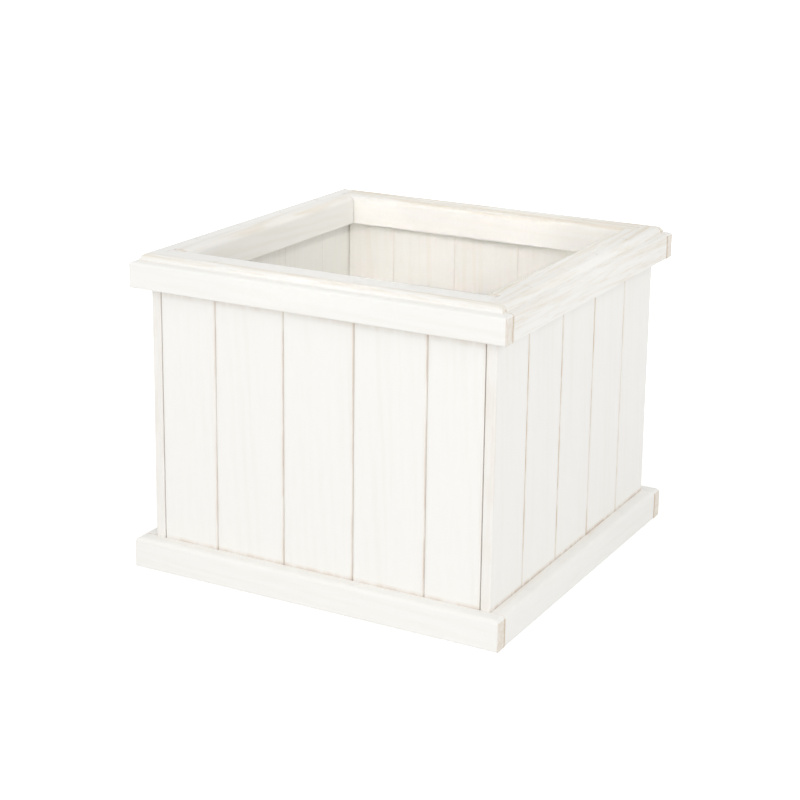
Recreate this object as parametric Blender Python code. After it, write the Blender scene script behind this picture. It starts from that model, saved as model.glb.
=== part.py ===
"""Square timber planter box: tongue-and-groove walls between moulded rails, on a slatted floor.

Metres, +Z up. The origin is on the ground at the centre of the box and the front faces -Y.
"""

import math

import bmesh
import bpy

# Overall sizes, over the outer faces of the boards and from the ground to the rim
WALL_WIDTH = 0.462
WALL_DEPTH = 0.462
HEIGHT = 0.400

# Wall boards
BOARD_THICKNESS = 0.013
BOARD_COVER = 0.095
BOARD_LIFT = 0.004
V_JOINT_DEPTH = 0.0016
TONGUE_LENGTH = 0.005
TONGUE_THICKNESS = 0.004
SAWN_EDGE_EASE = 0.0008
LEAST_RIPPED_BOARD = 0.020
FRONT_SET_OUT = 0.0025
SIDE_SET_OUT = -0.004
CORNER_JOINT = 0.0018

# Rails
RAIL_THICKNESS = 0.019
TOP_RAIL_HEIGHT = 0.042
INNER_RAIL_HEIGHT = 0.040
BASE_RAIL_HEIGHT = 0.0385
RIM_LAND = 0.0015
RIM_ROUND_OVER = 0.0085
RIM_STEP = 0.001
RIM_NOSE = 0.0035
BASE_ROUND_OVER = 0.0055
LOWER_EDGE_EASE = 0.002

# Floor
BEARER_THICKNESS = 0.022
BEARER_HEIGHT = 0.030
SLAT_WIDTH = 0.080
SLAT_THICKNESS = 0.016
SLAT_EDGE_EASE = 0.0015
LEAST_DRAIN_GAP = 0.004

# Gap that touching pieces keep, and how far a cutter reaches past what it cuts
CLEARANCE = 0.0003
CUTTER_MARGIN = 0.005
ARC_STEPS = 8

# Each wall is modelled as seen from outside: u runs to the right, v inwards and w up
WALL_TURNS = {"front": 0.0, "right": 90.0, "back": 180.0, "left": 270.0}
THROUGH_WALLS = ("front", "back")

# Colour and roughness of each kind of piece
WHITE_BOARD = ((0.86, 0.85, 0.81), 0.62)
WHITE_RAIL = ((0.88, 0.86, 0.82), 0.58)
WHITE_BASE = ((0.85, 0.83, 0.79), 0.60)
INNER_WHITE = ((0.84, 0.81, 0.75), 0.62)
FLOOR_WHITE = ((0.80, 0.76, 0.69), 0.66)


def clear_scene():
    for old in list(bpy.data.objects):
        bpy.data.objects.remove(old, do_unlink=True)


def make_collection(name):
    collection = bpy.data.collections.new(name)
    bpy.context.scene.collection.children.link(collection)
    return collection


def make_material(name, colour, roughness):
    material = bpy.data.materials.new(name)
    material.use_nodes = True
    shader = material.node_tree.nodes["Principled BSDF"]
    shader.inputs["Base Color"].default_value = (*colour, 1.0)
    shader.inputs["Roughness"].default_value = roughness
    shader.inputs["Metallic"].default_value = 0.0
    return material


def arc(centre, radius, start, end):
    """Points of an arc, with angles in degrees."""
    points = []
    for step in range(ARC_STEPS + 1):
        angle = math.radians(start + (end - start) * step / ARC_STEPS)
        points.append((centre[0] + radius * math.cos(angle), centre[1] + radius * math.sin(angle)))
    return points


def prism(outline, place, start, end):
    """A closed mesh: the outline as one face, extruded from start to end."""
    mesh = bpy.data.meshes.new("prism")
    shape = bmesh.new()
    corners = [shape.verts.new(place(a, b, start)) for a, b in outline]
    face = shape.faces.new(corners)
    extruded = bmesh.ops.extrude_face_region(shape, geom=[face])
    moved = [item for item in extruded["geom"] if isinstance(item, bmesh.types.BMVert)]
    origin = place(0.0, 0.0, start)
    target = place(0.0, 0.0, end)
    travel = [after - before for before, after in zip(origin, target)]
    bmesh.ops.translate(shape, verts=moved, vec=travel)
    bmesh.ops.recalc_face_normals(shape, faces=shape.faces)
    shape.to_mesh(mesh)
    shape.free()
    mesh.shade_smooth()
    mesh.set_sharp_from_angle(angle=math.radians(30.0))
    return mesh


def upright(a, b, t):
    """Outline in plan (u, v), extruded up."""
    return (a, b, t)


def along_outside(a, b, t):
    """Outline as (distance out of the wall, height), extruded along the wall."""
    return (t, -a, b)


def along_inside(a, b, t):
    """Outline as (distance in from the boards' inner face, height), extruded along the wall."""
    return (t, BOARD_THICKNESS + CLEARANCE + a, b)


def across(a, b, t):
    """Outline as (distance along the wall, height), extruded through the wall."""
    return (a, t, b)


def add_piece(name, mesh, collection, parent, material):
    piece = bpy.data.objects.new(name, mesh)
    mesh.name = name
    collection.objects.link(piece)
    piece.parent = parent
    mesh.materials.append(material)
    return piece


def wall_reach(wall):
    """Half the length of a wall over its boards' outer faces, and its distance from the centre."""
    if wall in THROUGH_WALLS:
        return WALL_WIDTH / 2, WALL_DEPTH / 2
    return WALL_DEPTH / 2, WALL_WIDTH / 2


def add_wall_frame(wall, collection):
    frame = bpy.data.objects.new(wall + "_wall", None)
    turn = math.radians(WALL_TURNS[wall])
    distance = wall_reach(wall)[1]
    frame.location = (distance * math.sin(turn), -distance * math.cos(turn), 0.0)
    frame.rotation_euler = (0.0, 0.0, turn)
    collection.objects.link(frame)
    return frame


def board_joints(half, set_out):
    """Where the boards of a wall meet: a middle board off centre by set_out, full boards, cut ends."""
    joints = []
    reach = half - LEAST_RIPPED_BOARD
    first = math.ceil((-reach - set_out) / BOARD_COVER - 0.5)
    position = set_out + (first + 0.5) * BOARD_COVER
    while position <= reach:
        joints.append(position)
        position += BOARD_COVER
    return joints


def board_outline(left, right, left_sawn, right_sawn):
    """Section of one board: groove and V on the left, tongue and V on the right, unless sawn."""
    tongue_top = V_JOINT_DEPTH + (BOARD_THICKNESS - V_JOINT_DEPTH - TONGUE_THICKNESS) / 2
    tongue_foot = tongue_top + TONGUE_THICKNESS
    ease = SAWN_EDGE_EASE
    half_gap = CLEARANCE / 2
    points = []
    if right_sawn:
        points += [(right - ease, 0.0), (right, ease)]
        points += [(right, BOARD_THICKNESS - ease), (right - ease, BOARD_THICKNESS)]
    else:
        edge = right - half_gap
        tip = edge + TONGUE_LENGTH
        points += [(edge - V_JOINT_DEPTH, 0.0), (edge, V_JOINT_DEPTH)]
        points += [(edge, tongue_top), (tip, tongue_top), (tip, tongue_foot), (edge, tongue_foot)]
        points += [(edge, BOARD_THICKNESS)]
    if left_sawn:
        points += [(left + ease, BOARD_THICKNESS), (left, BOARD_THICKNESS - ease)]
        points += [(left, ease), (left + ease, 0.0)]
    else:
        edge = left + half_gap
        root = edge + TONGUE_LENGTH + CLEARANCE
        points += [(edge, BOARD_THICKNESS), (edge, tongue_foot + CLEARANCE)]
        points += [(root, tongue_foot + CLEARANCE), (root, tongue_top - CLEARANCE)]
        points += [(edge, tongue_top - CLEARANCE), (edge, V_JOINT_DEPTH), (edge + V_JOINT_DEPTH, 0.0)]
    return points


def add_boards(wall, collection, frame, material):
    half = wall_reach(wall)[0]
    set_out = SIDE_SET_OUT
    if wall in THROUGH_WALLS:
        half -= BOARD_THICKNESS + CORNER_JOINT
        set_out = FRONT_SET_OUT
    edges = [-half] + board_joints(half, set_out) + [half]
    last = len(edges) - 2
    for index in range(last + 1):
        outline = board_outline(edges[index], edges[index + 1], index == 0, index == last)
        mesh = prism(outline, upright, BOARD_LIFT, HEIGHT)
        add_piece(f"{wall}_board_{index + 1}", mesh, collection, frame, material)


def rim_edge():
    """Outer upper edge of a top rail, from its face up to the land: nose, shelf, step and round-over."""
    round_over = min(RIM_ROUND_OVER, RAIL_THICKNESS - RIM_LAND)
    shelf = RAIL_THICKNESS - RIM_LAND - round_over
    nose = min(RIM_NOSE, shelf)
    shelf_height = HEIGHT - round_over - RIM_STEP
    points = arc((RAIL_THICKNESS - nose, shelf_height - nose), nose, 0.0, 90.0)
    points += arc((RIM_LAND, HEIGHT - round_over), round_over, 0.0, 90.0)
    return points


def base_edge():
    """Outer upper edge of a base rail."""
    radius = min(BASE_ROUND_OVER, RAIL_THICKNESS)
    return arc((RAIL_THICKNESS - radius, BASE_RAIL_HEIGHT - radius), radius, 0.0, 90.0)


def lower_edge(height):
    """Outer lower edge of a rail whose underside is at this height."""
    radius = min(LOWER_EDGE_EASE, RAIL_THICKNESS)
    return arc((RAIL_THICKNESS - radius, height + radius), radius, -90.0, 0.0)


def add_through_rail(name, underside, foot, edge, top, collection, cutters, frame, material, half):
    """A front or back rail: it passes the side walls, and its ends are shaped like its long edge."""
    reach = half + RAIL_THICKNESS + CUTTER_MARGIN
    inner = CLEARANCE
    outline = [(inner, underside)] + foot + edge + [(inner, top)]
    rail = add_piece(name, prism(outline, along_outside, -reach, reach), collection, frame, material)
    crest = edge[-1][0]
    right = [(half + out, height) for out, height in edge]
    right = [(half + RAIL_THICKNESS, underside - CUTTER_MARGIN)] + right
    right += [(half + crest, top + CUTTER_MARGIN)]
    left = [(-u, height) for u, height in reversed(right)]
    depth = (-RAIL_THICKNESS - CUTTER_MARGIN, CUTTER_MARGIN)
    cutter = bpy.data.objects.new(name + "_ends", prism(right + left, across, *depth))
    cutters.objects.link(cutter)
    cutter.parent = frame
    cutter.hide_render = True
    cutter.display_type = "WIRE"
    shaping = rail.modifiers.new("shaped_ends", "BOOLEAN")
    shaping.operation = "INTERSECT"
    shaping.object = cutter


def add_side_rail(name, underside, foot, edge, top, collection, frame, material, half):
    """A left or right rail, cut square between the front and back rails."""
    reach = half - CLEARANCE
    outline = [(CLEARANCE, underside)] + foot + edge + [(CLEARANCE, top)]
    add_piece(name, prism(outline, along_outside, -reach, reach), collection, frame, material)


def add_outer_rails(wall, collection, cutters, frame, top_material, base_material):
    half = wall_reach(wall)[0]
    rim_foot = HEIGHT - TOP_RAIL_HEIGHT
    rails = (
        (wall + "_top_rail", rim_foot, lower_edge(rim_foot), rim_edge(), HEIGHT, top_material),
        (wall + "_base_rail", 0.0, lower_edge(0.0), base_edge(), BASE_RAIL_HEIGHT, base_material),
    )
    for name, underside, foot, edge, top, material in rails:
        if wall in THROUGH_WALLS:
            add_through_rail(name, underside, foot, edge, top, collection, cutters, frame, material, half)
        else:
            add_side_rail(name, underside, foot, edge, top, collection, frame, material, half)


def add_inner_rail(wall, collection, frame, material):
    """Rail inside the rim; front and back reach the side walls, left and right fit between them."""
    half = wall_reach(wall)[0] - BOARD_THICKNESS - CLEARANCE
    if wall not in THROUGH_WALLS:
        half -= RAIL_THICKNESS + CLEARANCE
    radius = min(RIM_ROUND_OVER, RAIL_THICKNESS - RIM_LAND)
    underside = HEIGHT - INNER_RAIL_HEIGHT
    outline = [(0.0, underside)] + lower_edge(underside)
    outline += arc((RAIL_THICKNESS - radius, HEIGHT - radius), radius, 0.0, 90.0)
    outline += [(0.0, HEIGHT)]
    mesh = prism(outline, along_inside, -half, half)
    add_piece(wall + "_inner_rail", mesh, collection, frame, material)


def add_bearer(wall, collection, frame, material):
    """Batten inside the foot of a wall that carries the floor slats."""
    half = wall_reach(wall)[0] - BOARD_THICKNESS - CLEARANCE
    top = BOARD_LIFT + BEARER_HEIGHT
    outline = [(0.0, BOARD_LIFT), (BEARER_THICKNESS, BOARD_LIFT), (BEARER_THICKNESS, top), (0.0, top)]
    mesh = prism(outline, along_inside, -half, half)
    add_piece(wall + "_floor_bearer", mesh, collection, frame, material)


def add_floor(collection, parent, material):
    """Slats from front to back on the bearers, spread evenly with drain gaps."""
    inside = WALL_WIDTH - 2 * BOARD_THICKNESS
    count = int((inside - LEAST_DRAIN_GAP) / (SLAT_WIDTH + LEAST_DRAIN_GAP))
    gap = (inside - count * SLAT_WIDTH) / (count + 1)
    reach = WALL_DEPTH / 2 - BOARD_THICKNESS - CLEARANCE
    low = BOARD_LIFT + BEARER_HEIGHT + CLEARANCE
    high = low + SLAT_THICKNESS
    ease = SLAT_EDGE_EASE
    for index in range(count):
        left = -inside / 2 + gap + index * (SLAT_WIDTH + gap)
        right = left + SLAT_WIDTH
        outline = [(left, low), (right, low), (right, high - ease), (right - ease, high)]
        outline += [(left + ease, high), (left, high - ease)]
        mesh = prism(outline, across, -reach, reach)
        add_piece(f"floor_slat_{index + 1}", mesh, collection, parent, material)


def main():
    clear_scene()
    collection = make_collection("planter_box")
    cutters = make_collection("planter_box_cutters")
    white_board = make_material("white_washed_board", *WHITE_BOARD)
    white_rail = make_material("white_washed_top_rail", *WHITE_RAIL)
    white_base = make_material("white_washed_base_rail", *WHITE_BASE)
    inner_white = make_material("white_washed_inner_rail", *INNER_WHITE)
    floor_white = make_material("white_washed_floor", *FLOOR_WHITE)
    for wall in WALL_TURNS:
        frame = add_wall_frame(wall, collection)
        add_boards(wall, collection, frame, white_board)
        add_outer_rails(wall, collection, cutters, frame, white_rail, white_base)
        add_inner_rail(wall, collection, frame, inner_white)
        if wall in THROUGH_WALLS:
            add_bearer(wall, collection, frame, floor_white)
    add_floor(collection, None, floor_white)


main()
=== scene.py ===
"""Finish of a square timber planter box: eased edges, thin white paint over softwood.

Each wall board, rail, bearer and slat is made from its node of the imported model, in metres. The box stands
on the ground at the origin with its front towards -Y.
"""

import math

import bmesh
import bpy
from mathutils import Matrix, Vector


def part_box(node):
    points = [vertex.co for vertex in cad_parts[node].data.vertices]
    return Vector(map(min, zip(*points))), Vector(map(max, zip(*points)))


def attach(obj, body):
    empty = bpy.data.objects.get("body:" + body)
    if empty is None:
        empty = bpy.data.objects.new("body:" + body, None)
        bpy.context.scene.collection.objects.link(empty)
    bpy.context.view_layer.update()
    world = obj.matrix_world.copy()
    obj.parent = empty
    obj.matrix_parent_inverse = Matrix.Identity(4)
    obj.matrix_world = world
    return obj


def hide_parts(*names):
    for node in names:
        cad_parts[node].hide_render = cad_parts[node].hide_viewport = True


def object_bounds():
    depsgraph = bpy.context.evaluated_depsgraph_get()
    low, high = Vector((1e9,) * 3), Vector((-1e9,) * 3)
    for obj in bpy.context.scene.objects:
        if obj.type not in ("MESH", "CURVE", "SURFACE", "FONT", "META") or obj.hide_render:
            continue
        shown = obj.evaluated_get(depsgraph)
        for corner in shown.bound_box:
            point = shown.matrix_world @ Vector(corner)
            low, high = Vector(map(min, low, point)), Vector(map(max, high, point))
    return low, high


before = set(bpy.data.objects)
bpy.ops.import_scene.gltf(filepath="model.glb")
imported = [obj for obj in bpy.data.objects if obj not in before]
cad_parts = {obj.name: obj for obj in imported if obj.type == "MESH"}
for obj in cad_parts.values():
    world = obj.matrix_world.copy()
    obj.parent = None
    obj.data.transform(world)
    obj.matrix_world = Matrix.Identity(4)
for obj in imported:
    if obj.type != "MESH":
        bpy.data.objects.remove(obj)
CAD_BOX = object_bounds()

bl_info = {
    "name": "Planter Box Finish",
    "version": (1, 0, 0),
    "blender": (4, 5, 0),
    "location": "3D Viewport > Sidebar > Planter",
    "description": "Dresses a timber planter box with eased edges and thin white paint",
    "category": "Object",
}

BODY = "root"

# Attributes that say where the wood is bare and where the paint is thin; both also hold painted shade, the
# first under the overhang of the rim and the second on the rim's upward faces
BARE_AND_SHADE = "bare"
THIN_AND_SHADE = "thin"

# Direction of the grain in a piece, by the axis it runs along
ALONG_X, ALONG_Y, UPRIGHT = 0, 1, 2

# Scale of the patterns along the grain, where across it is 1
GRAIN_STRETCH = 0.06
PATCH_STRETCH = 0.25
KNOT_STRETCH = 0.5

# How far apart the patterns of two pieces are taken, and the knots of one piece from its grain
SEED_STEP = (0.37, 0.23, 0.41)
KNOT_SEED = 0.37

# How well the paint covers the top of the rim: at 1 it hides the wood, below 0 it is thin past the streaks.
# The thin paint there is partly painted shade that darkens the faces which look up.
RIM_COVER = {
    "front": {"top_rail": -0.4, "board": 1.0, "inner_rail": 0.95},
    "right": {"top_rail": -0.5, "board": -0.4, "inner_rail": -0.4},
    "back": {"top_rail": -1.5, "board": -1.5, "inner_rail": -1.2},
    "left": {"top_rail": 0.8, "board": 1.0, "inner_rail": 0.2}}

# How well it covers the faces of the top rails and the inside of the boards
TOP_RAIL_COVER = {"front": 0.8, "right": -0.4, "back": 0.7, "left": 0.6}
INSIDE_COVER = 0.55

# How worn the boards are on each wall
BOARD_WEAR = {"front": 0.65, "right": 0.95, "back": 0.8, "left": 0.8}

# Shares in the look of the paint
FIBRE_STREAKS = 0.45
LINE_RELIEF = 0.35
KNOT_STAIN = 0.3
KNOT_RAGGED = 0.05
LEAST_WEAR = 0.35
ROUGHNESS_CHANGE = 0.07
END_PAINT_CHANGE = 0.12

# Sawn ends: how far the pith lies from the middle of a piece, and the width of the bare inner edge
PITH_AWAY = 0.07
BARE_EDGE = (0.002, 0.0052)
RAGGED_EDGE = 0.003

# Dot products of directions: above the first they count as alike, below the second as turned away
ALIKE_DOT = 0.9
TURNED_DOT = 0.5

# Angles between faces: eased above the first, creased above the second, merged below the third
SHARP_ANGLE = math.radians(25.0)
CREASE_ANGLE = math.radians(40.0)
FLAT_ANGLE = math.radians(1.0)

# Points closer than this are one point
MERGE_DISTANCE = 0.00002

# Depth of the rim's top, and of the moulding's step, which coats of paint fill a little
RIM_DEPTH = 0.008
STEP_DEPTH = (0.006, 0.0115)
STEP_COATS = 4
STEP_FILL = 0.5

# Material slots of a piece
SIDES, ENDS, RIM_TOP = 0, 1, 2

# Places of a material's nodes in the editor
NODE_STEP = (-220.0, -60.0)
NODE_ROWS = 5

# Diffuse bounces of the light, for the pale inside of the box
INSIDE_BOUNCES = 8
SENSOR_WIDTH = 36.0


class PlanterTimberSettings(bpy.types.PropertyGroup):
    """Sizes of the eased edges, and where the paint is worn and how much, with the painted shade under the
    rim.
    """

    board_ease: bpy.props.FloatProperty(
        name="Board edge", description="Width of the eased edges of the boards",
        default=0.0005, min=0.0001, max=0.0008, precision=5, unit="LENGTH")
    rail_ease: bpy.props.FloatProperty(
        name="Rail edge", description="Width of the eased edges of the rails",
        default=0.0009, min=0.0001, max=0.0015, precision=5, unit="LENGTH")
    floor_ease: bpy.props.FloatProperty(
        name="Floor edge", description="Width of the eased edges of the slats and bearers",
        default=0.0006, min=0.0001, max=0.0012, precision=5, unit="LENGTH")
    wear_band: bpy.props.FloatProperty(
        name="Wear band", description="How far the worn paint reaches in from a V joint",
        default=0.0024, min=0.0005, max=0.004, precision=5, unit="LENGTH")
    edge_wear: bpy.props.FloatProperty(
        name="Edge wear", description="How bare the eased edges are",
        default=0.16, min=0.0, max=1.0, subtype="FACTOR")
    end_wear: bpy.props.FloatProperty(
        name="End wear", description="How bare the edges round the sawn ends of the rails are",
        default=0.7, min=0.0, max=1.0, subtype="FACTOR")
    inside_thin: bpy.props.FloatProperty(
        name="Inside paint", description="How thin the paint is on the inner faces of the boards",
        default=0.3, min=0.0, max=1.0, subtype="FACTOR")
    corner_close: bpy.props.FloatProperty(
        name="Corner close", description="How much of the gap beside a corner board is taken up",
        default=0.35, min=0.0, max=1.0, subtype="FACTOR")
    # The seam settings paint bare wood on the boards along the rails; it is partly painted shade, most of
    # all the band under the overhang of the rim, which stands in for its shadow.
    seam_wear_and_shade: bpy.props.FloatProperty(
        name="Seam wear", description="How bare the boards are where they meet the rails",
        default=0.6, min=0.0, max=1.0, subtype="FACTOR")
    eave_shade_reach: bpy.props.FloatProperty(
        name="Eave reach", description="How far the bare seam reaches down under the overhang of the rim",
        default=0.013, min=0.001, max=0.03, precision=4, unit="LENGTH")
    seam_reach: bpy.props.FloatProperty(
        name="Seam reach", description="How far the bare seam reaches out from a rail",
        default=0.005, min=0.001, max=0.02, precision=4, unit="LENGTH")
    lip_wear: bpy.props.FloatProperty(
        name="Lip wear",
        description="How bare the V joints are at their lip; at the bottom they are all bare",
        default=0.4, min=0.0, max=1.0, subtype="FACTOR")
    edge_steps: bpy.props.IntProperty(
        name="Edge steps", description="Faces across each eased edge", default=3, min=1, max=6)


class PlanterFinishSettings(bpy.types.PropertyGroup):
    """Colours of the paint and the wood under it."""

    paint: bpy.props.FloatVectorProperty(
        name="Paint", description="White paint where it covers well",
        default=(0.905, 0.899, 0.874), size=3, min=0.0, max=1.0, subtype="COLOR")
    thin_paint: bpy.props.FloatVectorProperty(
        name="Thin paint", description="Paint where the wood shows through it",
        default=(0.80, 0.745, 0.655), size=3, min=0.0, max=1.0, subtype="COLOR")
    bare_wood: bpy.props.FloatVectorProperty(
        name="Bare wood", description="Wood on worn edges and in the joints",
        default=(0.50, 0.33, 0.19), size=3, min=0.0, max=1.0, subtype="COLOR")
    knot: bpy.props.FloatVectorProperty(
        name="Knot", description="Knots that stain the paint",
        default=(0.74, 0.60, 0.43), size=3, min=0.0, max=1.0, subtype="COLOR")
    pine: bpy.props.FloatVectorProperty(
        name="Pine", description="Pine on the sawn ends",
        default=(0.76, 0.64, 0.48), size=3, min=0.0, max=1.0, subtype="COLOR")
    pine_grain: bpy.props.FloatVectorProperty(
        name="Pine grain", description="Rings of late wood on the sawn ends",
        default=(0.46, 0.30, 0.17), size=3, min=0.0, max=1.0, subtype="COLOR")
    paint_roughness: bpy.props.FloatProperty(
        name="Paint roughness", description="Roughness of the paint",
        default=0.6, min=0.0, max=1.0, subtype="FACTOR")


class PlanterStageSettings(bpy.types.PropertyGroup):
    """Camera, light and floor."""

    camera_place: bpy.props.FloatVectorProperty(
        name="Camera place", description="Where the camera stands",
        default=(1.0676, -1.9950, 0.9091), size=3, subtype="TRANSLATION", unit="LENGTH")
    camera_azimuth: bpy.props.FloatProperty(
        name="Azimuth", description="Turn of the view about the vertical",
        default=math.radians(28.505), subtype="ANGLE", unit="ROTATION")
    camera_pitch: bpy.props.FloatProperty(
        name="Pitch", description="How far the view points down",
        default=math.radians(14.691), subtype="ANGLE", unit="ROTATION")
    camera_roll: bpy.props.FloatProperty(
        name="Roll", description="Turn of the camera about its own view",
        default=math.radians(0.722), subtype="ANGLE", unit="ROTATION")
    lens: bpy.props.FloatProperty(
        name="Lens", description="Focal length in millimetres on a 36 mm sensor", default=83.735, min=1.0)
    shift: bpy.props.FloatProperty(
        name="Shift", description="Shift of the view down, in frames", default=0.12, min=0.0, max=0.2)
    sky: bpy.props.FloatProperty(
        name="Sky", description="Strength of the soft light from all round", default=0.76, min=0.0)
    sky_colour: bpy.props.FloatVectorProperty(
        name="Sky colour", description="Colour of the soft light from all round",
        default=(1.0, 0.995, 0.985), size=3, min=0.0, max=1.0, subtype="COLOR")
    right_lamp: bpy.props.FloatProperty(
        name="Right lamp", description="Power of the soft lamp on the right of the camera",
        default=53.0, min=0.0, unit="POWER")
    right_azimuth: bpy.props.FloatProperty(
        name="Right azimuth", description="Side that the right lamp stands on, from the front",
        default=math.radians(55.0), subtype="ANGLE", unit="ROTATION")
    left_lamp: bpy.props.FloatProperty(
        name="Left lamp", description="Power of the soft lamp on the left of the camera",
        default=38.5, min=0.0, unit="POWER")
    left_azimuth: bpy.props.FloatProperty(
        name="Left azimuth", description="Side that the left lamp stands on, from the front",
        default=math.radians(-10.0), subtype="ANGLE", unit="ROTATION")
    mouth_lamp: bpy.props.FloatProperty(
        name="Mouth lamp", description="Power of the narrow lamp that shines into the box",
        default=0.066, min=0.0, unit="POWER")
    mouth_colour: bpy.props.FloatVectorProperty(
        name="Mouth colour", description="Colour of the light inside the box",
        default=(1.0, 0.965, 0.87), size=3, min=0.0, max=1.0, subtype="COLOR")
    mouth_azimuth: bpy.props.FloatProperty(
        name="Mouth azimuth", description="Side that the narrow lamp stands on, from the front",
        default=math.radians(25.0), subtype="ANGLE", unit="ROTATION")
    mouth_elevation: bpy.props.FloatProperty(
        name="Mouth elevation", description="Height of the narrow lamp above the rim, as an angle",
        default=math.radians(22.0), subtype="ANGLE", unit="ROTATION")
    mouth_margin: bpy.props.FloatProperty(
        name="Mouth margin", description="How far inside the front rim the narrow beam passes",
        default=0.12, min=0.0, max=0.2, unit="LENGTH")
    mouth_spread: bpy.props.FloatProperty(
        name="Mouth spread", description="How far the narrow lamp's beam opens",
        default=math.radians(6.0), subtype="ANGLE", unit="ROTATION")
    lamp_elevation: bpy.props.FloatProperty(
        name="Lamp elevation", description="Height of the soft lamps above the floor, as an angle",
        default=math.radians(24.0), subtype="ANGLE", unit="ROTATION")
    lamp_distance: bpy.props.FloatProperty(
        name="Lamp distance", description="Distance of the soft lamps", default=5.0, min=0.5, unit="LENGTH")
    lamp_size: bpy.props.FloatProperty(
        name="Lamp size", description="Width of the soft lamps", default=3.0, min=0.1, unit="LENGTH")
    floor_colour: bpy.props.FloatVectorProperty(
        name="Floor", description="Colour of the pale floor",
        default=(0.85, 0.85, 0.85), size=3, min=0.0, max=1.0, subtype="COLOR")
    floor_lift: bpy.props.FloatProperty(
        name="Floor lift", description="White that the camera sees added to the floor round the box",
        default=0.4, min=0.0, max=1.0, subtype="FACTOR")
    shadow_reach: bpy.props.FloatProperty(
        name="Shadow reach", description="Distance from the middle at which the floor is plain white",
        default=0.8, min=0.3, unit="LENGTH")
    floor_size: bpy.props.FloatProperty(
        name="Floor size", description="Width of the floor", default=16.0, min=1.0, unit="LENGTH")


def node_names(part):
    """Names of the nodes of one kind, in order."""
    return sorted(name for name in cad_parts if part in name)


def grain_axis(node):
    """The axis that a piece's grain runs along."""
    if "_board_" in node:
        return UPRIGHT
    if node.startswith(("front", "back")):
        return ALONG_X
    return ALONG_Y


def piece_seed(node):
    """A number of its own for each piece, so that no two have the same grain."""
    return 1 + sorted(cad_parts).index(node)


def wall_of(node):
    """The wall that a piece belongs to, or nothing for the floor slats."""
    return next((wall for wall in RIM_COVER if node.startswith(wall)), None)


def rim_seed(wall):
    """One number for all that was painted together along a rim, so that streaks run on over joints."""
    return 1 + len(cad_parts) + sorted(RIM_COVER).index(wall)


def rim_cover_of(node, cover):
    """How well the paint covers a piece in the top of the rim, or its own cover if it isn't there."""
    kinds = RIM_COVER.get(wall_of(node), {})
    return next((share for kind, share in kinds.items() if kind in node), cover)


def wall_axis(node):
    """The level axis that points through the wall a piece belongs to."""
    return ALONG_Y if node.startswith(("front", "back")) else ALONG_X


def in_rim_joint(edge, node):
    """Whether an edge lies in the level top of the rim, where pieces meet tight and are painted over."""
    if min(vert.co.z for vert in edge.verts) < CAD_BOX[1].z - MERGE_DISTANCE:
        return False
    if "_board_" in node:
        return True
    across = wall_axis(node)
    faces = [corner[across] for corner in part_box(wall_of(node) + "_board_1")]
    return any(
        all(abs(vert.co[across] - face) < MERGE_DISTANCE for vert in edge.verts) for face in faces)


def seat_rail(shape, node):
    """Brings the back of a rail up to the boards that it is nailed to."""
    across = wall_axis(node)
    low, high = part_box(node)
    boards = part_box(wall_of(node) + "_board_1")
    below_zero = low[across] + high[across] < 0.0
    outside = "_inner_" not in node
    back = high if below_zero == outside else low
    seat = min((corner[across] for corner in boards), key=lambda place: abs(place - back[across]))
    for vert in shape.verts:
        if abs(vert.co[across] - back[across]) < MERGE_DISTANCE:
            vert.co[across] = seat


def cut_level(shape, height):
    """Cuts the faces of a shape along a level line."""
    bmesh.ops.bisect_plane(
        shape, geom=shape.verts[:] + shape.edges[:] + shape.faces[:], dist=MERGE_DISTANCE / 2,
        plane_co=(0.0, 0.0, height), plane_no=(0.0, 0.0, 1.0))


def close_corner(shape, node, settings):
    """Brings the edge of an end board near the side wall, and up to it where the rails hide the step."""
    if "_board_" not in node or wall_axis(node) != ALONG_Y:
        return
    low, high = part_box(node)
    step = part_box(wall_of(node) + "_inner_rail")[0].z + settings.seam_reach
    left_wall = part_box("left_board_1")[1].x
    right_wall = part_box("right_board_1")[0].x
    for edge, wall in ((low.x, left_wall), (high.x, right_wall)):
        if abs(wall - edge) > settings.wear_band:
            continue
        cut_level(shape, step)
        cut_level(shape, step + settings.seam_reach)
        for vert in shape.verts:
            if abs(vert.co.x - edge) < settings.wear_band / 2:
                hidden = vert.co.z > step + settings.seam_reach / 2
                vert.co.x += (wall - edge) * (1.0 if hidden else settings.corner_close)
    shape.normal_update()


def soften_step(shape):
    """Fills the step of the moulding a little, as coats of paint do."""
    step = [vert for vert in shape.verts if STEP_DEPTH[0] < CAD_BOX[1].z - vert.co.z < STEP_DEPTH[1]]
    for _ in range(STEP_COATS):
        bmesh.ops.smooth_vert(
            shape, verts=step, factor=STEP_FILL, use_axis_x=False, use_axis_y=False, use_axis_z=True)


def joint_depth(node, vert):
    """How far a point of a wall board lies below the outer face of its wall."""
    across = wall_axis(node)
    reach = max(abs(corner[across]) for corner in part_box(node))
    return reach - abs(vert.co[across])


def faces_out(node, face):
    """Whether a face of a wall board is the outer face of the wall."""
    across = wall_axis(node)
    return face.normal[across] * face.calc_center_median()[across] > 0.0


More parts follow.
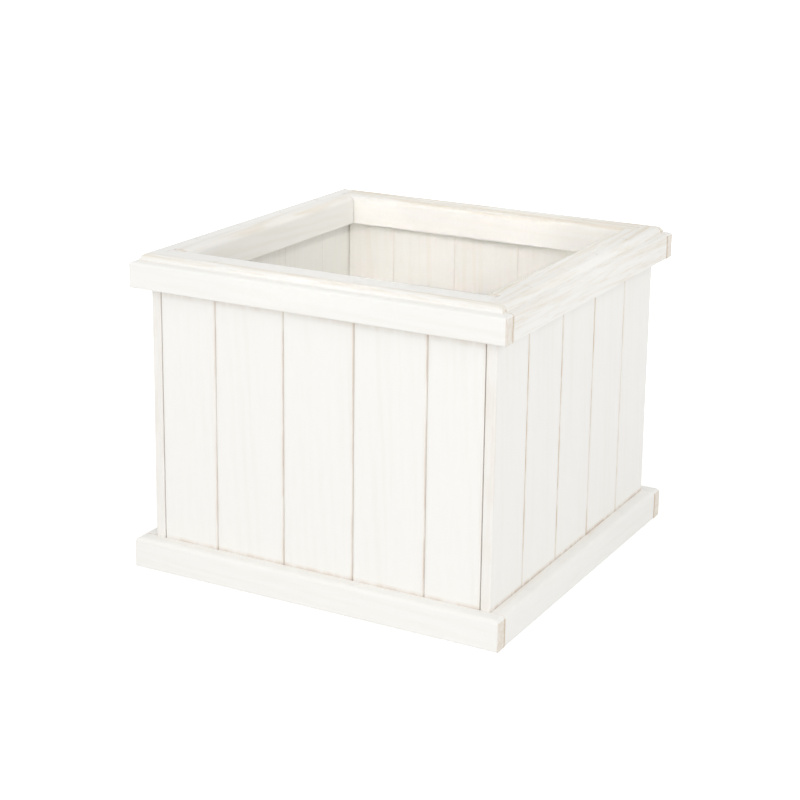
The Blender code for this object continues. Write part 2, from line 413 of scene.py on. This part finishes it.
def mark_bare_boards_and_shade(shape, node, chamfers, eased, settings):
    """Bare wood on a wall board: deep in the V joints, and a little on its edges and beside the joints;
    along the rails the mark is also painted shade.
    """
    bare = shape.loops.layers.float[BARE_AND_SHADE]
    depth = max((joint_depth(node, vert) for face in chamfers for vert in face.verts), default=0.0)
    broad = []
    for face in shape.faces:
        through = face.normal[wall_axis(node)]
        if face in chamfers:
            for loop in face.loops:
                share = joint_depth(node, loop.vert) / depth
                loop[bare] = settings.lip_wear + (1.0 - settings.lip_wear) * share
        elif face in eased or abs(through) < TURNED_DOT:
            for loop in face.loops:
                loop[bare] = settings.edge_wear
        elif faces_out(node, face):
            broad.append(face)
    bands = bmesh.ops.inset_individual(
        shape, faces=broad, thickness=settings.wear_band, use_even_offset=True)["faces"]
    inner = {vert for face in broad for vert in face.verts}
    for face in bands:
        for loop in face.loops:
            loop[bare] = 0.0 if loop.vert in inner else settings.edge_wear
    mark_seam_wear_and_shade(shape, node, settings)


def mark_seam_wear_and_shade(shape, node, settings):
    """Bare wood on a wall board along the rails that it stands behind, which is also painted shade: the band
    that fades down under the overhang of the rim stands in for the rim's shadow.
    """
    bare = shape.loops.layers.float[BARE_AND_SHADE]
    rim_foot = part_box(wall_of(node) + "_top_rail")[0].z
    base_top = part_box(wall_of(node) + "_base_rail")[1].z
    # Painted shade: the bare mark fades over the eave reach down the boards under the rim, and over the seam
    # reach up from the base rail.
    for height in (rim_foot, rim_foot - settings.eave_shade_reach, base_top, base_top + settings.seam_reach):
        cut_level(shape, height)
    shape.normal_update()
    for face in shape.faces:
        if faces_out(node, face) and abs(face.normal.z) < TURNED_DOT:
            for loop in face.loops:
                clear = min(rim_foot - loop.vert.co.z, loop.vert.co.z - base_top)
                if clear < MERGE_DISTANCE:
                    loop[bare] = max(loop[bare], settings.seam_wear_and_shade)


def mark_bare_edges(shape, node, eased, settings):
    """Bare wood on the eased edges of a rail, bearer or slat, most of all round its sawn ends."""
    bare = shape.loops.layers.float[BARE_AND_SHADE]
    axis = grain_axis(node)
    low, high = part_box(node)
    for face in eased:
        place = face.calc_center_median()[axis]
        near_end = min(place - low[axis], high[axis] - place) < settings.rail_ease
        for loop in face.loops:
            loop[bare] = settings.end_wear if near_end else settings.edge_wear


def mark_thin_paint_and_shade(shape, node, settings):
    """Where the paint is thin: on top of the rim, the more a face looks up, and inside on the boards. On the
    rim this is also painted shade, darker the more a face looks up.
    """
    thin = shape.loops.layers.float.new(THIN_AND_SHADE)
    for face in shape.faces:
        on_rim = face.calc_center_median().z > CAD_BOX[1].z - RIM_DEPTH
        inside = "_board_" in node and not faces_out(node, face)
        for loop in face.loops:
            around = [
                other.normal.z for other in loop.vert.link_faces
                if other.normal.dot(face.normal) > ALIKE_DOT]
            # Painted shade as well as thin paint: rim faces are marked the more they look up.
            looks_up = max(0.0, sum(around) / len(around)) if on_rim else 0.0
            loop[thin] = max(looks_up, settings.inside_thin if inside else 0.0)


def eased_timber(node, ease, settings):
    """A copy of a node with eased edges, marked where paint is worn or thin and where shade is painted on,
    its sawn ends told apart.
    """
    grain = Vector((0.0, 0.0, 0.0))
    grain[grain_axis(node)] = 1.0
    shape = bmesh.new()
    shape.from_mesh(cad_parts[node].data)
    bmesh.ops.remove_doubles(shape, verts=shape.verts, dist=MERGE_DISTANCE)
    bmesh.ops.dissolve_limit(
        shape, angle_limit=FLAT_ANGLE, verts=shape.verts, edges=shape.edges, use_dissolve_boundaries=False)
    shape.normal_update()
    if "_rail" in node:
        seat_rail(shape, node)
    close_corner(shape, node, settings)
    slanted = shape.faces.layers.int.new("slanted")
    for face in shape.faces:
        face[slanted] = int(max(abs(share) for share in face.normal) < ALIKE_DOT)
    sharp = [
        edge for edge in shape.edges
        if edge.calc_face_angle(0.0) > SHARP_ANGLE and not in_rim_joint(edge, node)]
    eased = set(bmesh.ops.bevel(
        shape, geom=sharp, offset=ease, offset_type="OFFSET", affect="EDGES", segments=settings.edge_steps,
        profile=0.5, material=-1, clamp_overlap=True, loop_slide=True)["faces"])
    if "_top_rail" in node:
        soften_step(shape)
    shape.normal_update()
    shape.loops.layers.float.new(BARE_AND_SHADE)
    if "_board_" in node:
        chamfers = {face for face in shape.faces if face[slanted] and face not in eased}
        mark_bare_boards_and_shade(shape, node, chamfers, eased, settings)
    else:
        mark_bare_edges(shape, node, eased, settings)
    shape.normal_update()
    mark_thin_paint_and_shade(shape, node, settings)
    for edge in shape.edges:
        edge.smooth = edge.calc_face_angle(0.0) < CREASE_ANGLE
    for face in shape.faces:
        face.smooth = True
        ends = face.normal.dot(grain)
        face.material_index = SIDES if abs(ends) < ALIKE_DOT else ENDS
        if "_board_" in node and ends > ALIKE_DOT:
            face.material_index = RIM_TOP
    mesh = bpy.data.meshes.new("timber_" + node)
    shape.to_mesh(mesh)
    shape.free()
    return mesh


class NodeSheet:
    """A material's nodes, added one after another and linked as they are made."""

    def __init__(self, name):
        self.material = bpy.data.materials.new(name)
        self.material.use_nodes = True
        self.tree = self.material.node_tree
        self.tree.nodes.clear()
        output = self.tree.nodes.new("ShaderNodeOutputMaterial")
        self.shader = self.tree.nodes.new("ShaderNodeBsdfPrincipled")
        self.tree.links.new(self.shader.outputs["BSDF"], output.inputs["Surface"])
        self.column = 0

    def add(self, kind, settings=None, inputs=None):
        """A new node with its settings, and its inputs set or linked."""
        node = self.tree.nodes.new(kind)
        self.column += 1
        node.location = (NODE_STEP[0] * self.column, NODE_STEP[1] * (self.column % NODE_ROWS))
        for key, value in (settings or {}).items():
            setattr(node, key, value)
        for key, value in (inputs or {}).items():
            self.put(node.inputs[key], value)
        return node

    def put(self, socket, value):
        """Links a socket to another node's output, or sets it to a plain value."""
        if isinstance(value, bpy.types.NodeSocket):
            self.tree.links.new(value, socket)
        else:
            socket.default_value = value

    def math(self, operation, first, second, clamp=False):
        """The result of an operation on two values."""
        node = self.add("ShaderNodeMath", {"operation": operation, "use_clamp": clamp})
        self.put(node.inputs[0], first)
        self.put(node.inputs[1], second)
        return node.outputs["Value"]

    def rise(self, value, low, high, to_low=0.0, to_high=1.0):
        """A smooth change from one level to another as a value goes from low to high."""
        node = self.add("ShaderNodeMapRange", {"interpolation_type": "SMOOTHSTEP"}, {
            "Value": value, "From Min": low, "From Max": high, "To Min": to_low, "To Max": to_high})
        return node.outputs["Result"]

    def blend(self, amount, first, second):
        """The first colour, with the second over it by an amount."""
        node = self.add("ShaderNodeMix", {"data_type": "RGBA"})
        colours = [socket for socket in node.inputs if socket.type == "RGBA"]
        self.put(node.inputs["Factor"], amount)
        self.put(colours[0], first)
        self.put(colours[1], second)
        return next(socket for socket in node.outputs if socket.type == "RGBA")

    def noise(self, vector, scale, detail, roughness=0.55, distortion=0.0):
        """Cloudy noise from 0 to 1."""
        node = self.add("ShaderNodeTexNoise", None, {
            "Vector": vector, "Scale": scale, "Detail": detail, "Roughness": roughness,
            "Distortion": distortion})
        return node.outputs["Fac"]


def colour(value):
    """A colour with nothing see-through."""
    return (*value, 1.0)


def grain_space(sheet, axis, seed, stretch=GRAIN_STRETCH):
    """Object coordinates, drawn out along the grain and moved to this piece's own stretch of timber."""
    scale = [1.0, 1.0, 1.0]
    scale[axis] = stretch
    start = [step * seed for step in SEED_STEP]
    place = sheet.add("ShaderNodeTexCoord").outputs["Object"]
    mapping = sheet.add("ShaderNodeMapping", None, {"Vector": place, "Location": start, "Scale": scale})
    return mapping.outputs["Vector"]


def growth_lines(sheet, vector, scale):
    """Soft lines of late wood along the grain."""
    wave = sheet.add("ShaderNodeTexWave", {
        "wave_type": "BANDS", "bands_direction": "DIAGONAL", "wave_profile": "SIN"}, {
        "Vector": vector, "Scale": scale, "Distortion": 5.0, "Detail": 3.0, "Detail Scale": 1.4,
        "Detail Roughness": 0.6})
    return wave.outputs["Fac"]


def knot_mask(sheet, axis, seed):
    """Spots where a knot stains the face, few and a little longer than wide."""
    vector = grain_space(sheet, axis, seed, KNOT_STRETCH)
    spots = sheet.add("ShaderNodeTexVoronoi", {"feature": "F1"}, {"Vector": vector, "Scale": 8.5})
    ragged = sheet.math("MULTIPLY", sheet.noise(vector, scale=90.0, detail=2.0), KNOT_RAGGED)
    away = sheet.math("ADD", spots.outputs["Distance"], ragged)
    return sheet.rise(away, low=0.05, high=0.13, to_low=1.0, to_high=0.0)


def painted_timber(name, axis, seed, finish, cover, rim_cover, wear):
    """Thin white paint along the grain: streaks of wood under it, worn edges and joints, a few knots, and
    painted shade.

    Cover and rim_cover say how well the paint hides the wood, up to 1, on plain faces and where the paint is
    marked thin, a mark that on the rim also paints shade on faces that look up. Wear says how bare the
    marked edges and joints are, from 0 to 1; the bare mark also holds painted shade under the rim's
    overhang.
    """
    sheet = NodeSheet(name)
    along = grain_space(sheet, axis, seed)
    broad = sheet.noise(along, scale=30.0, detail=3.0)
    fibres = sheet.noise(along, scale=330.0, detail=4.0, roughness=0.65, distortion=0.3)
    lines = growth_lines(sheet, along, scale=46.0)
    streaks = sheet.math(
        "MULTIPLY", sheet.rise(broad, low=0.38, high=0.72),
        sheet.rise(lines, low=0.25, high=0.95, to_low=0.25))
    fine = sheet.math("MULTIPLY", sheet.rise(fibres, low=0.45, high=0.75), FIBRE_STREAKS)
    streaks = sheet.math("ADD", streaks, fine)
    thin_and_shade_mark = sheet.add("ShaderNodeAttribute", {"attribute_name": THIN_AND_SHADE}).outputs["Fac"]
    # Thin paint and painted shade: the mark takes full effect from 0.6, so the rounded top edges darken
    # almost as much as the flat top.
    reach = sheet.rise(thin_and_shade_mark, low=0.0, high=0.6, to_low=1.0 - cover, to_high=1.0 - rim_cover)
    thin = sheet.math("MULTIPLY", streaks, reach, clamp=True)
    face = sheet.blend(thin, colour(finish.paint), colour(finish.thin_paint))
    knots = sheet.math("MULTIPLY", knot_mask(sheet, axis, seed + KNOT_SEED), KNOT_STAIN)
    face = sheet.blend(knots, face, colour(finish.knot))
    # The bare mark holds worn wood and, on the boards along the rails, painted shade.
    worn = sheet.add("ShaderNodeAttribute", {"attribute_name": BARE_AND_SHADE}).outputs["Fac"]
    chips = sheet.noise(grain_space(sheet, axis, seed, PATCH_STRETCH), scale=70.0, detail=3.0, roughness=0.6)
    patches = sheet.rise(chips, low=0.36, high=0.66, to_low=LEAST_WEAR * wear, to_high=wear)
    face = sheet.blend(sheet.math("MULTIPLY", worn, patches), face, colour(finish.bare_wood))
    sheet.put(sheet.shader.inputs["Base Color"], face)
    smooth = finish.paint_roughness - ROUGHNESS_CHANGE
    rough = finish.paint_roughness + ROUGHNESS_CHANGE
    roughness = sheet.rise(fibres, low=0.3, high=0.7, to_low=smooth, to_high=rough)
    sheet.put(sheet.shader.inputs["Roughness"], roughness)
    height = sheet.math("ADD", fibres, sheet.math("MULTIPLY", lines, LINE_RELIEF))
    bump = sheet.add("ShaderNodeBump", None, {"Height": height, "Strength": 0.22, "Distance": 0.0005})
    sheet.put(sheet.shader.inputs["Normal"], bump.outputs["Normal"])
    return sheet.material


def end_grain(name, node, finish, paint_share):
    """Sawn end of a piece: rings round a pith beside it, some paint soaked in, and a bare inner edge."""
    sheet = NodeSheet(name)
    low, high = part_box(node)
    across = wall_axis(node) if wall_of(node) else UPRIGHT
    pith = (low + high) / 2
    pith[across] += math.copysign(PITH_AWAY, pith[across])
    place = sheet.add("ShaderNodeTexCoord").outputs["Object"]
    moved = sheet.add("ShaderNodeMapping", None, {"Vector": place, "Location": -pith}).outputs["Vector"]
    rings = sheet.add("ShaderNodeTexWave", {
        "wave_type": "RINGS", "rings_direction": "XYZ"[grain_axis(node)], "wave_profile": "SAW"}, {
        "Vector": moved, "Scale": 120.0, "Distortion": 1.2, "Detail": 2.0, "Detail Scale": 0.6})
    pores = sheet.noise(place, scale=900.0, detail=3.0, roughness=0.7)
    dark = sheet.math(
        "MULTIPLY", sheet.rise(rings.outputs["Fac"], low=0.3, high=1.0),
        sheet.rise(pores, low=0.3, high=0.7, to_low=0.4))
    face = sheet.blend(dark, colour(finish.pine), colour(finish.pine_grain))
    least = paint_share - END_PAINT_CHANGE
    most = paint_share + END_PAINT_CHANGE
    soaked = sheet.noise(place, scale=160.0, detail=3.0)
    patches = sheet.rise(soaked, low=0.35, high=0.65, to_low=least, to_high=most)
    face = sheet.blend(patches, face, colour(finish.paint))
    apart = sheet.add("ShaderNodeSeparateXYZ", None, {"Vector": place}).outputs["XYZ"[across]]
    inner = low[across] if pith[across] > 0.0 else high[across]
    gap = sheet.math("ABSOLUTE", sheet.math("SUBTRACT", apart, inner), 0.0)
    uneven = sheet.math("MULTIPLY", sheet.noise(place, scale=260.0, detail=2.0), RAGGED_EDGE)
    ragged = sheet.math("ADD", gap, uneven)
    bare = sheet.rise(ragged, *BARE_EDGE, to_low=0.75, to_high=0.0)
    face = sheet.blend(bare, face, colour(finish.bare_wood))
    sheet.put(sheet.shader.inputs["Base Color"], face)
    roughness = sheet.rise(pores, low=0.3, high=0.7, to_low=0.7, to_high=0.85)
    sheet.put(sheet.shader.inputs["Roughness"], roughness)
    bump = sheet.add("ShaderNodeBump", None, {"Height": pores, "Strength": 0.35, "Distance": 0.0004})
    sheet.put(sheet.shader.inputs["Normal"], bump.outputs["Normal"])
    return sheet.material


def add_timber(node, ease, materials):
    """Puts the eased copy of a node in its place, with its materials."""
    mesh = eased_timber(node, ease, bpy.context.scene.planter_timber)
    piece = bpy.data.objects.new("timber_" + node, mesh)
    bpy.context.scene.collection.objects.link(piece)
    for material in materials:
        mesh.materials.append(material)
    shading = piece.modifiers.new("even_shading", "WEIGHTED_NORMAL")
    shading.keep_sharp = True
    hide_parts(node)
    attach(piece, BODY)


def add_painted(part, ease, cover, wear, end_paint):
    """All pieces of one painted kind."""
    finish = bpy.context.scene.planter_finish
    for node in node_names(part):
        axis = grain_axis(node)
        seed = piece_seed(node)
        wall = wall_of(node)
        rim_cover = rim_cover_of(node, cover)
        thin_cover = INSIDE_COVER if axis == UPRIGHT else rim_cover
        if "_top_rail" in node or "_inner_rail" in node:
            seed = rim_seed(wall)
        materials = [
            painted_timber("paint_" + node, axis, seed, finish, cover, thin_cover, wear),
            end_grain("end_" + node, node, finish, end_paint)]
        if axis == UPRIGHT:
            along = ALONG_X + ALONG_Y - wall_axis(node)
            materials.append(
                painted_timber("rim_" + node, along, rim_seed(wall), finish, rim_cover, rim_cover, wear=0.0))
        add_timber(node, ease, materials)


class PLANTER_OT_wall_boards(bpy.types.Operator):
    """Make the painted tongue-and-groove boards of the four walls"""

    bl_idname = "planter.wall_boards"
    bl_label = "Wall Boards"

    def execute(self, context):
        ease = context.scene.planter_timber.board_ease
        for wall, wear in BOARD_WEAR.items():
            add_painted(
                wall + "_board_", ease, cover=0.86, wear=wear, end_paint=0.5)
        return {"FINISHED"}


class PLANTER_OT_top_rails(bpy.types.Operator):
    """Make the moulded rails round the outside of the rim"""

    bl_idname = "planter.top_rails"
    bl_label = "Top Rails"

    def execute(self, context):
        ease = context.scene.planter_timber.rail_ease
        for wall, cover in TOP_RAIL_COVER.items():
            add_painted(
                wall + "_top_rail", ease, cover=cover, wear=0.6, end_paint=0.66)
        return {"FINISHED"}


class PLANTER_OT_inner_rails(bpy.types.Operator):
    """Make the rails inside the rim"""

    bl_idname = "planter.inner_rails"
    bl_label = "Inner Rails"

    def execute(self, context):
        ease = context.scene.planter_timber.rail_ease
        add_painted("_inner_rail", ease, cover=0.8, wear=0.6, end_paint=0.7)
        return {"FINISHED"}


class PLANTER_OT_base_rails(bpy.types.Operator):
    """Make the rails round the foot"""

    bl_idname = "planter.base_rails"
    bl_label = "Base Rails"

    def execute(self, context):
        ease = context.scene.planter_timber.rail_ease
        add_painted("_base_rail", ease, cover=0.82, wear=0.6, end_paint=0.6)
        return {"FINISHED"}


class PLANTER_OT_floor(bpy.types.Operator):
    """Make the thinly painted floor: bearers and slats"""

    bl_idname = "planter.floor"
    bl_label = "Floor"

    def execute(self, context):
        ease = context.scene.planter_timber.floor_ease
        add_painted("floor_", ease, cover=0.75, wear=0.5, end_paint=0.4)
        return {"FINISHED"}


def backdrop_seen(tree):
    """1 for rays that show the background to the camera, directly or in a reflection."""
    path = tree.nodes.new("ShaderNodeLightPath")
    seen = path.outputs["Is Camera Ray"]
    for ray in ("Is Glossy Ray", "Is Transmission Ray"):
        add = tree.nodes.new("ShaderNodeMath")
        add.operation = "ADD"
        add.use_clamp = True
        tree.links.new(seen, add.inputs[0])
        tree.links.new(path.outputs[ray], add.inputs[1])
        seen = add.outputs["Value"]
    return seen


def make_sky(stage):
    """Soft light from all round, which the camera sees as white."""
    world = bpy.data.worlds.new("studio_white")
    world.use_nodes = True
    tree = world.node_tree
    tree.nodes.clear()
    soft = tree.nodes.new("ShaderNodeBackground")
    soft.inputs["Strength"].default_value = stage.sky
    soft.inputs["Color"].default_value = colour(stage.sky_colour)
    white = tree.nodes.new("ShaderNodeBackground")
    white.inputs["Color"].default_value = (1.0, 1.0, 1.0, 1.0)
    mix = tree.nodes.new("ShaderNodeMixShader")
    output = tree.nodes.new("ShaderNodeOutputWorld")
    tree.links.new(backdrop_seen(tree), mix.inputs["Fac"])
    tree.links.new(soft.outputs["Background"], mix.inputs[1])
    tree.links.new(white.outputs["Background"], mix.inputs[2])
    tree.links.new(mix.outputs["Shader"], output.inputs["Surface"])
    bpy.context.scene.world = world


def make_floor(stage):
    """A wide pale floor: lit and shaded round the box, and plain white to the camera further off."""
    shape = bmesh.new()
    bmesh.ops.create_grid(shape, x_segments=1, y_segments=1, size=stage.floor_size / 2)
    mesh = bpy.data.meshes.new("studio_floor")
    shape.to_mesh(mesh)
    shape.free()
    floor = bpy.data.objects.new("studio_floor", mesh)
    bpy.context.scene.collection.objects.link(floor)
    material = bpy.data.materials.new("pale_floor")
    material.use_nodes = True
    tree = material.node_tree
    tree.nodes.clear()
    matt = tree.nodes.new("ShaderNodeBsdfDiffuse")
    matt.inputs["Color"].default_value = colour(stage.floor_colour)
    white = tree.nodes.new("ShaderNodeEmission")
    place = tree.nodes.new("ShaderNodeTexCoord")
    distance = tree.nodes.new("ShaderNodeVectorMath")
    distance.operation = "LENGTH"
    tree.links.new(place.outputs["Object"], distance.inputs[0])
    fade = tree.nodes.new("ShaderNodeMapRange")
    fade.interpolation_type = "SMOOTHSTEP"
    fade.inputs["From Min"].default_value = stage.shadow_reach / 2
    fade.inputs["From Max"].default_value = stage.shadow_reach
    fade.inputs["To Min"].default_value = stage.floor_lift
    tree.links.new(distance.outputs["Value"], fade.inputs["Value"])
    lift = tree.nodes.new("ShaderNodeMath")
    lift.operation = "MULTIPLY"
    tree.links.new(backdrop_seen(tree), lift.inputs[0])
    tree.links.new(fade.outputs["Result"], lift.inputs[1])
    tree.links.new(lift.outputs["Value"], white.inputs["Strength"])
    both = tree.nodes.new("ShaderNodeAddShader")
    output = tree.nodes.new("ShaderNodeOutputMaterial")
    tree.links.new(matt.outputs["BSDF"], both.inputs[0])
    tree.links.new(white.outputs["Emission"], both.inputs[1])
    tree.links.new(both.outputs["Shader"], output.inputs["Surface"])
    mesh.materials.append(material)


def place_lamp(name, lamp, aim, azimuth, elevation, distance):
    """Stands a lamp round the box and turns it to the point that it lights."""
    stand = bpy.data.objects.new(name, lamp)
    bpy.context.scene.collection.objects.link(stand)
    level = distance * math.cos(elevation)
    away = Vector((level * math.sin(azimuth), -level * math.cos(azimuth), distance * math.sin(elevation)))
    stand.location = aim + away
    stand.rotation_euler = away.to_track_quat("Z", "Y").to_euler()


def make_lamp(name, power, azimuth, stage):
    """A large soft lamp, aimed at the middle of the box."""
    lamp = bpy.data.lights.new(name, "AREA")
    lamp.energy = power
    lamp.shape = "DISK"
    lamp.size = stage.lamp_size
    middle = (CAD_BOX[0] + CAD_BOX[1]) / 2
    place_lamp(name, lamp, middle, azimuth, stage.lamp_elevation, stage.lamp_distance)


def make_mouth_lamp(stage):
    """A narrow beam through the mouth of the box, past the front rim, that lights the far wall inside."""
    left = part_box("left_inner_rail")[1].x
    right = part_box("right_inner_rail")[0].x
    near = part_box("front_inner_rail")[1].y
    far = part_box("back_inner_rail")[0].y
    near += stage.mouth_margin
    lamp = bpy.data.lights.new("mouth_lamp", "AREA")
    lamp.energy = stage.mouth_lamp
    lamp.color = stage.mouth_colour
    lamp.shape = "RECTANGLE"
    lamp.size = right - left
    lamp.size_y = (far - near) * math.sin(stage.mouth_elevation)
    lamp.spread = stage.mouth_spread
    mouth = Vector(((left + right) / 2, (near + far) / 2, CAD_BOX[1].z))
    place_lamp(
        "mouth_lamp", lamp, mouth, stage.mouth_azimuth, stage.mouth_elevation, stage.lamp_distance / 2)


def make_camera(stage):
    """The photograph's view."""
    lens = bpy.data.cameras.new("camera")
    lens.sensor_width = SENSOR_WIDTH
    lens.lens = stage.lens
    lens.shift_y = -stage.shift
    camera = bpy.data.objects.new("camera", lens)
    bpy.context.scene.collection.objects.link(camera)
    turn = Matrix.Rotation(stage.camera_azimuth, 4, "Z")
    tilt = Matrix.Rotation(math.pi / 2 - stage.camera_pitch, 4, "X")
    roll = Matrix.Rotation(stage.camera_roll, 4, "Z")
    camera.matrix_world = Matrix.Translation(stage.camera_place) @ turn @ tilt @ roll
    bpy.context.scene.camera = camera


class PLANTER_OT_stage(bpy.types.Operator):
    """Set up the floor, the soft light and the camera"""

    bl_idname = "planter.stage"
    bl_label = "Stage"

    def execute(self, context):
        stage = context.scene.planter_stage
        make_sky(stage)
        make_floor(stage)
        make_lamp("right_lamp", stage.right_lamp, stage.right_azimuth, stage)
        make_lamp("left_lamp", stage.left_lamp, stage.left_azimuth, stage)
        make_mouth_lamp(stage)
        make_camera(stage)
        context.scene.view_settings.view_transform = "Standard"
        context.scene.cycles.diffuse_bounces = INSIDE_BOUNCES
        return {"FINISHED"}


class PLANTER_PT_panel(bpy.types.Panel):
    """Settings and steps of the planter box"""

    bl_idname = "PLANTER_PT_panel"
    bl_label = "Planter Box"
    bl_space_type = "VIEW_3D"
    bl_region_type = "UI"
    bl_category = "Planter"

    def draw(self, context):
        for operator in OPERATORS:
            self.layout.operator(operator.bl_idname)
        for name in SETTINGS:
            group = getattr(context.scene, name)
            column = self.layout.column()
            for key in group.__annotations__:
                column.prop(group, key)


OPERATORS = (
    PLANTER_OT_wall_boards, PLANTER_OT_top_rails, PLANTER_OT_inner_rails, PLANTER_OT_base_rails,
    PLANTER_OT_floor, PLANTER_OT_stage)
SETTINGS = {
    "planter_timber": PlanterTimberSettings,
    "planter_finish": PlanterFinishSettings,
    "planter_stage": PlanterStageSettings,
}
CLASSES = (*SETTINGS.values(), *OPERATORS, PLANTER_PT_panel)


def register():
    for item in CLASSES:
        bpy.utils.register_class(item)
    for name, group in SETTINGS.items():
        setattr(bpy.types.Scene, name, bpy.props.PointerProperty(type=group))


def unregister():
    for name in SETTINGS:
        delattr(bpy.types.Scene, name)
    for item in reversed(CLASSES):
        bpy.utils.unregister_class(item)


def main():
    register()
    bpy.ops.planter.wall_boards()
    bpy.ops.planter.top_rails()
    bpy.ops.planter.inner_rails()
    bpy.ops.planter.base_rails()
    bpy.ops.planter.floor()
    bpy.ops.planter.stage()


if __name__ == "__main__":
    main()
